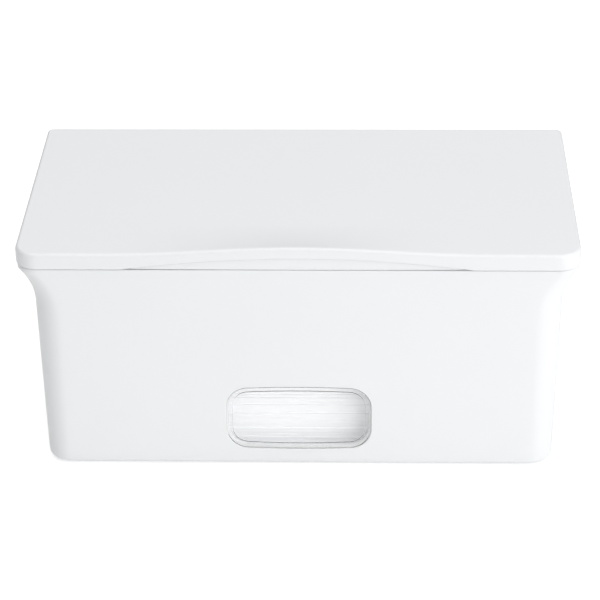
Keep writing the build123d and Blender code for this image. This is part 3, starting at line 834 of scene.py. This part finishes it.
class BuildTub(bpy.types.Operator):
    """Tub with its cove, rounded base, rim and the window's opening, ledge and collar"""

    bl_idname = "dispenser.build_tub"
    bl_label = "Build the tub"

    def execute(self, context):
        """The wall is a grid of plans at rising heights, up the outside and down the inside.

        In front the grid's faces are left out round the window. A tunnel of window outlines joins
        the two sides there: over the rounded edge, back to the ledge, inwards and round the collar.
        """
        scene = context.scene
        tub, window = scene.dispenser_tub, scene.dispenser_window
        form = TubForm(tub)
        middle = UNDERSIDE + window.sill + window.height / 2
        rise_intervals, run_half = 32, 30
        region_reach = window.height / 2 + REGION_MARGIN
        region = np.linspace(middle - region_reach, middle + region_reach, rise_intervals + 1)
        edge_in, edge_up = quarter_arc(10, tub.base_edge)
        inner_in, inner_up = quarter_arc(5, tub.base_edge - tub.wall)
        rim_in, rim_down = quarter_arc(4, tub.rim_edge)
        foot, head = form.foot(0.0), form.head(0.0)
        wall_z = np.linspace(region[-1], foot, 14)[1:]
        cove_z = np.linspace(foot, head, 22)[1:]
        rim_z = np.linspace(head, SHOULDER - tub.rim_edge, 4)[1:]
        outside = np.concatenate([region, wall_z, cove_z, rim_z])
        inner_foot, inner_head = form.foot(tub.wall), form.head(tub.wall)
        inside = np.concatenate(
            [
                np.linspace(SHOULDER - tub.rim_edge, inner_head, 3)[:-1],
                np.linspace(inner_head, inner_foot, 22)[:-1],
                np.linspace(inner_foot, region[-1], 14)[:-1],
                region[::-1],
            ]
        )
        floor = UNDERSIDE + tub.wall
        rings = np.concatenate(
            [
                form.rings(UNDERSIDE + edge_up[:-1], 0.0, edge_in[:-1]),
                form.rings(outside, 0.0),
                form.rings(SHOULDER - rim_down[-2::-1], 0.0, rim_in[-2::-1]),
                form.rings(SHOULDER - rim_down[:-1], tub.wall, -rim_in[:-1]),
                form.rings(inside, tub.wall),
                form.rings(floor + inner_up[::-1], tub.wall, inner_in[::-1]),
            ]
        )
        points = rings.shape[1]
        first = len(edge_up) - 1
        outer_levels = first + np.arange(rise_intervals + 1)
        inner_last = len(rings) - len(inner_up) - 1
        inner_levels = inner_last - np.arange(rise_intervals + 1)
        columns = RUN_COUNT // 2 + np.arange(-run_half, run_half + 1)

        faces = grid_faces(len(rings), points)
        level, column = faces[:, 0] // points, faces[:, 0] % points
        in_columns = (column >= columns[0]) & (column < columns[-1])
        in_outer = (level >= outer_levels[0]) & (level < outer_levels[-1])
        in_inner = (level >= inner_levels[-1]) & (level < inner_levels[0])
        faces = faces[~(in_columns & (in_outer | in_inner))]

        tunnel = [(-WINDOW_APRON, 0.0)]
        tunnel += [(-inset, drop) for inset, drop in edge_steps(4, window.edge)]
        tunnel += [
            (0.0, window.seat),
            (window.ledge, window.seat),
            (window.ledge, tub.wall + window.collar_depth),
            (-window.collar_width, tub.wall + window.collar_depth),
            (-window.collar_width, tub.wall * cos(tub.draft)),
        ]
        tube = np.stack(
            [
                on_window(form, window, outline_ring(window, margin, 2 * run_half, rise_intervals), depth)
                for margin, depth in tunnel
            ]
        )
        loop = tube.shape[1]
        start = rings.shape[0] * points
        numbers = [region_loop(outer_levels, columns, points)]
        numbers += [start + ring * loop + np.arange(loop) for ring in range(len(tube))]
        numbers += [region_loop(inner_levels, columns, points)]
        tunnel_faces = []
        for ring, following in zip(numbers[:-1], numbers[1:]):
            beside, after = np.roll(ring, -1), np.roll(following, -1)
            tunnel_faces.append(np.stack([ring, beside, after, following], axis=-1))
        caps = [list(range(points))[::-1], list(range(start - points, start))]
        skin = np.concatenate([rings.reshape(-1, 3), tube.reshape(-1, 3)])
        all_faces = np.concatenate([faces] + tunnel_faces).tolist() + caps
        make_piece("tub_shell", [(skin, all_faces)], "tub", "body_plastic", "glossy_shell", ["body_shell"])
        return {"FINISHED"}


class BuildWindow(bpy.types.Operator):
    """Clear lens, flush with the front wall, and the soft seal behind its border"""

    bl_idname = "dispenser.build_window"
    bl_label = "Build the window"

    def execute(self, context):
        """The lens is a stack of window outlines: a rounded front edge, a rounded back edge, and a plug
        whose edge slopes. The seal is four outlines in a ring.
        """
        scene = context.scene
        window = scene.dispenser_window
        form = TubForm(scene.dispenser_tub)

        def ring(margin, depth):
            """One outline of the lens or the seal, a margin in and a depth behind the wall."""
            return on_window(form, window, outline_ring(window, margin, 120, 80), depth)

        fit, thickness = window.lens_fit, window.lens_thickness
        edge = edge_steps(5, window.edge)
        front = [ring(fit + inset, drop) for inset, drop in edge]
        back = [ring(fit + inset, thickness - drop) for inset, drop in reversed(edge)]
        plug, slope = window.plug_margin, window.plug_slope
        back += [ring(plug, thickness), ring(plug + slope, thickness + window.plug_steepness * slope)]
        back += [ring(plug + slope, thickness + window.plug_depth)]
        lens = shell_of((front + back)[::-1])
        make_piece("window_pane", [lens], "tub", "lens_clear", "clear_acrylic", ["window_lens"])
        inner = fit + window.seal_width
        face = thickness + window.seal_slack
        section = [(fit, face), (inner, face), (inner, window.seat), (fit, window.seat)]
        seal = shell_of([ring(margin, depth) for margin, depth in section], closed=True)
        make_piece("window_gasket", [seal], "tub", "window_seal_silicone", "soft_seal", ["window_seal"])
        return {"FINISHED"}


class BuildLid(bpy.types.Operator):
    """Lid with its crest, skirt, finger arch, hinge bar, seal rib and snap tabs"""

    bl_idname = "dispenser.build_lid"
    bl_label = "Build the lid"

    def execute(self, context):
        """One skin of plans that runs from the roof's middle outwards, over the rounded edge, down the
        skirt, round under it and in over the ceiling. The crest is added to the roof's heights, and
        the arch, the half-round hinge bar and its notches to the heights of the skirt's foot.
        """
        scene = context.scene
        lid, rim = scene.dispenser_lid, scene.dispenser_rim
        station = LID_HALF_WIDTH - lid.hinge_inset
        notch = lid.knuckle_length / 2 + lid.hinge_gap
        cuts = np.array([-station - notch, -station + notch, station - notch, station + notch]) / LID_SPAN
        hair = 1e-6
        rear_run = np.sort(np.concatenate([EVEN_RUN, cuts - hair, cuts + hair]))
        top = LID_UNDER + lid.top

        def rings(inset, z, rear_inset=None):
            """Plans of the lid drawn in by an inset, with its own at the rear where one is given."""
            inset = np.asarray(inset, float)
            rear_inset = inset if rear_inset is None else rear_inset
            return plan_rings(
                z,
                LID_HALF_WIDTH - inset,
                inset - LID_HALF_DEPTH,
                LID_HALF_DEPTH - rear_inset,
                np.maximum(lid.front_corner - inset, LEAST_RADIUS),
                np.maximum(lid.rear_corner - inset, LEAST_RADIUS),
                np.minimum(LID_SPAN, LID_HALF_WIDTH - inset - CORNER_ROOM),
                rear_run=rear_run,
            )

        edge_in, edge_down = quarter_arc(9, lid.edge)
        shelf = np.linspace(lid.crest_reach + CREST_MARGIN, lid.edge, 22)[:-1]
        roof = rings(np.concatenate([shelf, edge_in]), top - np.concatenate([0 * shelf, edge_down]))
        roof[..., 2] += crest(lid, roof[..., 0], roof[..., 1])

        def foot_of(plan):
            """Height of the skirt's foot at each point: flat, arched in front, round under the hinge bar."""
            x, y = plan[..., 0], plan[..., 1]
            in_front = y < lid.wall - LID_HALF_DEPTH + MERGE_DISTANCE
            foot = SKIRT + np.where(in_front, arch(lid, x), 0.0)
            reach = np.clip(y - HINGE_Y, -HINGE_RADIUS, HINGE_RADIUS)
            bar = HINGE_Z - np.sqrt(HINGE_RADIUS**2 - reach**2)
            between_walls = np.abs(x) < LID_HALF_WIDTH - lid.wall
            under_bar = (y > HINGE_Y) | ((y > HINGE_Y - HINGE_RADIUS) & between_walls)
            foot = np.where(under_bar, bar, foot)
            in_notch = (np.abs(np.abs(x) - station) < notch) & (y > 0)
            return np.where(in_notch, LID_UNDER, foot)

        outer = rings(np.zeros(6), 0.0)
        upper = roof[-1, :, 2]
        fall = np.linspace(0.0, 1.0, 7)[1:, None]
        outer[..., 2] = upper + (foot_of(outer) - upper) * fall
        bar_steps = 16
        way = (1 - np.cos(np.linspace(0.0, pi, bar_steps + 1))) / 2
        under = rings(lid.wall * way, 0.0, rear_inset=2 * HINGE_RADIUS * way)
        to_edge = np.minimum(way, 1 - way)[:, None] * lid.wall
        turn = np.clip(1 - to_edge / lid.skirt_edge, 0.0, 1.0)
        lift = lid.skirt_edge * (1 - np.sqrt(1 - turn**2))
        rounded = under[..., 1] < HINGE_Y - HINGE_RADIUS
        under[..., 2] = foot_of(under) + np.where(rounded, lift, 0.0)
        outer[-1, :, 2] = under[0, :, 2]

        mouth = MouthForm(scene)
        mouth_y = mouth.front + rim.wall
        rib_inset = rim.wall + rim.seal_margin

        def rib_ring(drawn_in, z):
            """One outline of the seal rib, drawn in from its outside."""
            return mouth.ring(z, rib_inset + drawn_in, span=LID_SPAN, rear_run=rear_run)

        depth = LID_UNDER - rim.seal_rib
        ceiling = [rings([lid.wall], LID_UNDER, rear_inset=2 * HINGE_RADIUS)[0]]
        ceiling += [rib_ring(0.0, LID_UNDER), rib_ring(0.0, depth)]
        ceiling += [rib_ring(rim.seal_rib, depth), rib_ring(rim.seal_rib, LID_UNDER)]
        for drawn_in in np.linspace(rim.seal_rib, lid.hollow_reach, 16):
            raised = rib_ring(drawn_in, LID_UNDER)
            roof_z = top - lid.crest_wall + crest(lid, raised[..., 0], raised[..., 1])
            raised[..., 2] = np.maximum(LID_UNDER, roof_z)
            ceiling.append(raised)
        skins = [shell_of(np.concatenate([roof, outer, under, ceiling])[::-1])]

        face = mouth_y + lid.hinge_gap
        back = face + lid.tab_thickness
        nose = face - lid.bead_proud
        low, root = LID_UNDER - lid.tab_depth, LID_UNDER + lid.tab_root
        bead = low + lid.bead_rise + np.cumsum([0.0, lid.bead_proud, lid.bead_face, lid.bead_proud])
        profile = [(face + lid.tab_edge, low), (back - lid.tab_edge, low), (back, low + lid.tab_edge)]
        profile += [(back, root), (face, root), (face, bead[3]), (nose, bead[2]), (nose, bead[1])]
        profile += [(face, bead[0]), (face, low + lid.tab_edge)]
        skins += both_sides(profile, LID_HALF_WIDTH - lid.tab_inset, lid.tab_width)
        make_piece("lid_shell", skins, "lid", "lid_plastic", "glossy_shell", ["lid"])
        return {"FINISHED"}


class BuildRim(bpy.types.Operator):
    """Rim frame with its upright rim, tongue and two knuckles, and the gasket that lies on it"""

    bl_idname = "dispenser.build_rim"
    bl_label = "Build the rim frame"

    def tongue(self, scene):
        """Bar along X that fills the finger arch, stepped down behind for the gasket.

        Its top is the arch less a gap, and its foot a parabola that rises towards both ends.
        """
        tub, rim, lid = scene.dispenser_tub, scene.dispenser_rim, scene.dispenser_lid
        mouth = MouthForm(scene)
        half_width = lid.arch_half_width - rim.tongue_end_gap
        front = rim.tongue_step + tub.lid_overhang - LID_HALF_DEPTH
        back = mouth.front + rim.wall / 2
        upper_back = mouth.front - rim.seal_margin - rim.tongue_clearance
        x = np.linspace(-1.0, 1.0, 121) * half_width
        foot = SHOULDER + rim.tongue_foot_gap + rim.tongue_lift * (x / half_width) ** 2
        top = SKIRT + arch(lid, x) - rim.tongue_gap
        shelf = np.minimum(top, RIM_TOP - rim.edge)
        ease = np.minimum(rim.tongue_edge, top - foot)
        turn = np.linspace(0.0, pi / 2, 6)[None, :]
        level = np.ones_like(x)
        nose_y = front + ease[:, None] * (1 - np.cos(turn))
        nose_z = top[:, None] - ease[:, None] * (1 - np.sin(turn))
        y = np.column_stack(
            [back * level, front * level, nose_y, upper_back * level, upper_back * level, back * level]
        )
        z = np.column_stack([foot, foot, nose_z, top, shelf, shelf])
        rings = np.stack([np.broadcast_to(x[:, None], y.shape), y, z], axis=-1)
        return shell_of(rings)

    def execute(self, context):
        """The frame is a closed ring of outlines: up the outside from its foot, in to the upright rim,
        over the rim's rounded edge and down the inside. Its foot follows a smooth step, so that the
        bands in front and behind run out. A knuckle is part of a circle about the hinge's axis, with
        a root in the frame, carried along X.
        """
        scene = context.scene
        rim, lid = scene.dispenser_rim, scene.dispenser_lid
        mouth = MouthForm(scene)
        depth = mouth.frame_half_depth

        def foot_z(plan):
            """Foot of the frame: deep bands in front and behind that run out before the corners."""
            run_out = np.clip((np.abs(plan[..., 0]) - rim.band_reach) / rim.band_run, 0.0, 1.0)
            at_band = np.abs(plan[..., 1]) > rim.band_start * mouth.rear
            share_up = np.where(at_band, run_out * run_out * (3 - 2 * run_out), 1.0)
            return rim_low[2] + (SHOULDER - rim.side_depth - rim_low[2]) * share_up

        edge = edge_steps(5, rim.edge)
        outline = plan_rings(
            SHOULDER, mouth.frame_half_width, -depth, depth, mouth.corner, rim.rear_corner, RIM_SPAN
        )[0]
        foot = foot_z(outline)
        section = []
        for share_up in np.linspace(0.0, 1.0, 4):
            ring = outline.copy()
            ring[:, 2] = foot + (SHOULDER - foot) * share_up
            section.append(ring)
        section.append(mouth.ring(SHOULDER, 0.0))
        section += [mouth.ring(RIM_TOP - drop, inset) for inset, drop in reversed(edge)]
        section += [mouth.ring(RIM_TOP - drop, rim.wall - inset) for inset, drop in edge]
        section.append(mouth.ring(SHOULDER, rim.wall))
        inner_foot = mouth.ring(SHOULDER, rim.wall)
        inner_foot[:, 2] = foot_z(inner_foot)
        section.append(inner_foot)
        skins = [shell_of(section, closed=True), self.tongue(scene)]

        arc = np.linspace(-pi / 2, pi, 36)[6:]  # the lowest part is left to the root
        bearing = HINGE_RADIUS * np.column_stack([np.cos(arc), np.sin(arc)]) + (HINGE_Y, HINGE_Z)
        root_y, root_z = mouth.rear - rim.knuckle_root, SHOULDER - rim.knuckle_root
        profile = np.concatenate([bearing, [(root_y, HINGE_Z), (root_y, root_z), (depth, root_z)]])
        skins += both_sides(profile, LID_HALF_WIDTH - lid.hinge_inset, lid.knuckle_length)
        make_piece("mouth_frame", skins, "tub", "rim_plastic", "glossy_shell", ["rim_frame"])

        margin, ease = rim.seal_margin, rim.seal_edge
        bottom, ceiling = gasket_low[2], gasket_high[2]
        around = [(-margin, ceiling), (-margin, bottom + ease), (-margin + ease, bottom)]
        around += [(rim.wall - ease, bottom), (rim.wall, bottom + ease), (rim.wall, ceiling)]
        gasket = shell_of([mouth.ring(z, drawn_in) for drawn_in, z in around][::-1], closed=True)
        make_piece("lid_seal", [gasket], "lid", "gasket_silicone", "soft_seal", ["lid_gasket"])
        return {"FINISHED"}


class BuildStack(bpy.types.Operator):
    """Stack of folded wipes, each layer with its own soft rolled edge"""

    bl_idname = "dispenser.build_stack"
    bl_label = "Build the stack of wipes"

    def execute(self, context):
        """Each layer bulges as a squared one-minus-sine from one groove to the next, is shifted a
        little off the others, and has a sum of three sine waves round its edge.
        """
        scene = context.scene
        stack = scene.dispenser_stack
        chance = np.random.default_rng(7)
        layers, per_layer = stack.layers, 5
        thickness = chance.uniform(0.75, 1.25, layers)
        bounds = np.concatenate([[0.0], np.cumsum(thickness)]) / thickness.sum()
        floor, top = stack_low[2], stack_high[2]
        turn = np.linspace(0.0, pi, per_layer + 1)[:-1]
        depth = stack.groove * chance.uniform(0.35, 1.0, layers)
        rise = bounds[:-1, None] + np.diff(bounds)[:, None] * (1 - np.cos(turn)) / 2
        z = floor + (top - floor) * np.append(rise, 1.0)
        inset = np.append(depth[:, None] * (1 - np.sin(turn)) ** 2, stack.groove)
        layer = np.append(np.repeat(np.arange(layers), per_layer), layers - 1)
        room = stack.wander + stack.ripple
        half_width = stack_high[0] - room - inset
        half_depth = stack_high[1] - room - inset
        rings = plan_rings(z, half_width, -half_depth, half_depth, stack.corner, stack.corner, STACK_SPAN)
        offset = chance.uniform(-1.0, 1.0, (layers, 2)) * stack.wander
        phase = chance.uniform(0.0, 2 * pi, (layers, 3))
        rings[..., :2] += offset[layer][:, None, :]
        around = np.arange(rings.shape[1]) / rings.shape[1] * 2 * pi
        waves = np.array([5, 11, 23])
        ripple = np.sin(waves * around[:, None] + phase[layer][:, None, :]).sum(axis=-1)
        outward = rings[..., :2] / np.linalg.norm(rings[..., :2], axis=-1, keepdims=True)
        rings[..., :2] += outward * (ripple * stack.ripple / len(waves))[..., None]
        skin = shell_of(rings)
        cloth = ("wipes_fabric", "moist_nonwoven")
        piece = make_piece("wipes_layers", [skin], "tub", *cloth, ["wipes_stack"], sharp=radians(75))
        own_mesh(piece)
        return {"FINISHED"}


class BuildPlate(bpy.types.Operator):
    """Cover of the weighted plate and the soft slot in it"""

    bl_idname = "dispenser.build_plate"
    bl_label = "Build the weighted plate"

    def execute(self, context):
        """The cover is a closed ring of outlines: up its side, over the rounded edge, down through the
        slot and back inside. The soft slot is a ring of slots, and its throat narrows towards the
        mouth by a power of the height.
        """
        scene = context.scene
        plate = scene.dispenser_plate
        half_width, half_depth = plate_high[0], plate_high[1]
        low, top = plate_low[2], plate_high[2]
        base_top = lip_low[2]

        def outline(drawn_in, z):
            """The plate's outline, drawn in by a margin."""
            depth = half_depth - drawn_in
            radius = plate.corner - drawn_in
            return plan_rings(z, half_width - drawn_in, -depth, depth, radius, radius, PLATE_SPAN)[0]

        def slot(drawn_in, z):
            """The slot's outline with round ends, drawn in by a margin."""
            half = plate.slot_width / 2 - drawn_in
            straight = (plate.slot_length - plate.slot_width) / 2
            return plan_rings(z, straight + half, -half, half, half, half, SLOT_RUN_SHARE * straight)[0]

        section = [outline(0.0, low)]
        section += [outline(inset, top - drop) for inset, drop in reversed(edge_steps(7, plate.edge))]
        section += [slot(0.0, top), slot(0.0, top - plate.skin)]
        section += [outline(plate.skin, top - plate.skin), outline(plate.skin, low)]
        cover = shell_of(section, closed=True)
        white = ("plate_plastic", "matt_plate")
        make_piece("weighted_cover", [cover], "weighted_plate", *white, ["plate_cover"])

        lip_top = top + plate.lip_height
        margin, edge = plate.lip_margin, edge_steps(6, plate.lip_edge)
        section = [slot(plate.lip_fit, base_top), slot(plate.lip_fit, top), slot(-margin, top)]
        section += [slot(inset - margin, lip_top - drop) for inset, drop in reversed(edge)]
        # The mouth's edge is rolled open over the first sixth of the throat
        sink = np.linspace(0.0, 1.0, 12)
        throat = plate.slot_width / 2 - plate.lip_wall
        narrowing = (throat - plate.mouth_width / 2) * (1 - sink) ** plate.throat_power
        roll = plate.mouth_roll * np.maximum(0.0, 1 - 6 * sink) ** 2
        levels = lip_top - (lip_top - base_top) * sink
        section += [slot(drawn_in, z) for drawn_in, z in zip(plate.lip_wall + narrowing - roll, levels)]
        lip = shell_of(section, closed=True)
        make_piece("soft_slot", [lip], "weighted_plate", "lip_rubber", "soft_lip", ["slot_lip"])
        return {"FINISHED"}


class BuildWipe(bpy.types.Operator):
    """Free end of the next wipe, gathered in the slot and spread out above it"""

    bl_idname = "dispenser.build_wipe"
    bl_label = "Build the leading wipe"

    def execute(self, context):
        """Sine-generated folds: the cloth's heading at each place across its width is a steepest turn
        times a wave, and the running sums of the heading's cosine and sine give its place. The wave
        goes from small uneven folds in the slot to two large ones at the free edge, which leans
        forward and droops by a parabola across the width.
        """
        scene = context.scene
        wipe = scene.dispenser_wipe
        columns, rows = 521, 37
        across = np.linspace(0.0, 2 * pi, columns)
        along = np.linspace(0.0, wipe.shown, rows)
        in_slot = lip_high[2] - stack_high[2]
        free = np.clip((along - in_slot) / (wipe.shown - in_slot), 0.0, 1.0)[:, None]
        ease = free * free * (3 - 2 * free)
        # The phases keep the folds from lining up
        small = np.sin(wipe.folds * across + wipe.uneven * np.sin(2 * across + 0.4))
        large = 0.6 * np.sin(2 * across + 0.9) + 0.4 * np.sin(3 * across + 2.2)
        wave = small + wipe.soften * ease * (large - small)
        heading = (wipe.gather + (wipe.spread - wipe.gather) * ease) * wave
        step = wipe.drawn / (columns - 1)
        x = np.cumsum(np.cos(heading), axis=1) * step
        y = np.cumsum(np.sin(heading), axis=1) * step
        x -= (x[:, :1] + x[:, -1:]) / 2
        y -= y.mean(axis=1, keepdims=True) + wipe.lean * ease**2
        hang = 1 - wipe.droop * free * (across / pi - 1) ** 2
        z = stack_high[2] + wipe.thickness + along[:, None] * hang
        points = np.stack([x, y, z], axis=-1)
        number = np.arange(points[..., 0].size).reshape(z.shape)
        faces = np.stack([number[:-1, :-1], number[:-1, 1:], number[1:, 1:], number[1:, :-1]], axis=-1)
        skin = (points.reshape(-1, 3), faces.reshape(-1, 4).tolist())
        cloth = ("wipes_fabric", "moist_nonwoven")
        piece = make_piece("leading_wipe", [skin], "weighted_plate", *cloth, [], sharp=radians(80))
        # A cloth has no flat faces for the normals to follow, and gets its thickness here
        piece.modifiers.clear()
        wall = piece.modifiers.new("cloth", "SOLIDIFY")
        wall.thickness = wipe.thickness
        wall.offset = 0.0
        return {"FINISHED"}


class FinishKeptNodes(bpy.types.Operator):
    """Materials of the pieces that are shown as modelled: pins, base, weights, screws and feet"""

    bl_idname = "dispenser.finish_kept_nodes"
    bl_label = "Finish the small parts"

    def execute(self, context):
        """Puts each finish on the frame's own meshes, whose shapes stay."""
        sides = ("left", "right")
        steel = [f"{part}_{side}" for part in ("hinge_pin", "weight_bar") for side in sides]
        groups = {
            "bright_steel": [*steel, "plate_screws"],
            "matt_plate": ["plate_base"],
            "rubber_feet": [f"foot_{end}_{side}" for end in ("front", "rear") for side in sides],
        }
        for name, nodes in groups.items():
            for node in nodes:
                materials = frame["nodes"][node].data.materials
                materials.clear()
                materials.append(finish_material(name))
        return {"FINISHED"}


class BuildStage(bpy.types.Operator):
    """Pale floor, soft light and the camera"""

    bl_idname = "dispenser.build_stage"
    bl_label = "Build the stage"

    def execute(self, context):
        """The camera stands on a ray from its target, a distance away at an azimuth and an elevation,
        looks back along it and is turned by its roll. Each light looks at one point above the origin.
        """
        scene = context.scene
        studio = scene.dispenser_studio
        half = studio.floor_half
        corners = [(-half, -half, 0.0), (half, -half, 0.0), (half, half, 0.0), (-half, half, 0.0)]
        mesh = bpy.data.meshes.new("floor")
        mesh.from_pydata(corners, [], [(0, 1, 2, 3)])
        floor = bpy.data.objects.new("floor", mesh)
        scene.collection.objects.link(floor)
        mesh.materials.append(paper_material(studio))

        world = bpy.data.worlds.new("soft_box")
        world.use_nodes = True
        sky = world.node_tree.nodes["Background"]
        sky.inputs["Color"].default_value = (1.0, 1.0, 1.0, 1.0)
        sky.inputs["Strength"].default_value = studio.sky
        scene.world = world

        aim = Vector((0.0, 0.0, studio.aim_height))
        for name, place, size, watts in (
            ("key_light", (1.15, -1.2, 0.66), 1.5, studio.key_power),
            ("top_light", (0.0, -0.1, 1.7), 2.2, studio.top_power),
            ("back_light", (0.0, 1.4, 0.9), 1.2, studio.back_power),
        ):
            light = bpy.data.lights.new(name, "AREA")
            light.shape = "SQUARE"
            light.size = size
            light.energy = watts
            lamp = bpy.data.objects.new(name, light)
            lamp.location = place
            lamp.rotation_mode = "QUATERNION"
            lamp.rotation_quaternion = (aim - Vector(place)).to_track_quat("-Z", "Y")
            scene.collection.objects.link(lamp)

        optics = bpy.data.cameras.new("photo_camera")
        optics.lens = studio.lens
        optics.sensor_width = 36.0
        optics.shift_x, optics.shift_y = studio.shift
        optics.clip_end = 20.0
        camera = bpy.data.objects.new("photo_camera", optics)
        azimuth, elevation = studio.azimuth, studio.elevation
        back = Vector((sin(azimuth) * cos(elevation), -cos(azimuth) * cos(elevation), sin(elevation)))
        camera.location = Vector(studio.target) + back * studio.distance
        camera.rotation_mode = "QUATERNION"
        roll = Quaternion((0.0, 0.0, 1.0), studio.roll)
        camera.rotation_quaternion = (-back).to_track_quat("-Z", "Y") @ roll
        scene.collection.objects.link(camera)
        scene.camera = camera
        scene.view_settings.view_transform = "Standard"
        return {"FINISHED"}


class DispenserPanel(bpy.types.Panel):
    """Lists the dispenser's operators"""

    bl_idname = "VIEW3D_PT_dispenser"
    bl_label = "Wipes dispenser"
    bl_space_type = "VIEW_3D"
    bl_region_type = "UI"
    bl_category = "Dispenser"

    def draw(self, context):
        """One button for each operator, in the order of building."""
        for step in STEPS:
            self.layout.operator(step.bl_idname)


GROUPS = {
    "dispenser_tub": TubSizes,
    "dispenser_window": WindowSizes,
    "dispenser_lid": LidSizes,
    "dispenser_rim": RimSizes,
    "dispenser_stack": StackSizes,
    "dispenser_plate": PlateSizes,
    "dispenser_wipe": WipeSizes,
    "dispenser_finishes": Finishes,
    "dispenser_studio": Studio,
}
STEPS = (
    BuildTub,
    BuildWindow,
    BuildLid,
    BuildRim,
    BuildStack,
    BuildPlate,
    BuildWipe,
    FinishKeptNodes,
    BuildStage,
)


def register():
    """Registers the classes and hangs the property groups on the scene."""
    for made in (*GROUPS.values(), *STEPS, DispenserPanel):
        bpy.utils.register_class(made)
    for name, group in GROUPS.items():
        setattr(bpy.types.Scene, name, PointerProperty(type=group))


def unregister():
    """Takes the property groups and the classes away again."""
    for name in GROUPS:
        delattr(bpy.types.Scene, name)
    for made in reversed((*GROUPS.values(), *STEPS, DispenserPanel)):
        bpy.utils.unregister_class(made)


def main():
    register()
    for step in STEPS:
        getattr(bpy.ops.dispenser, step.bl_idname.split(".")[1])()


if __name__ == "__main__":
    main()
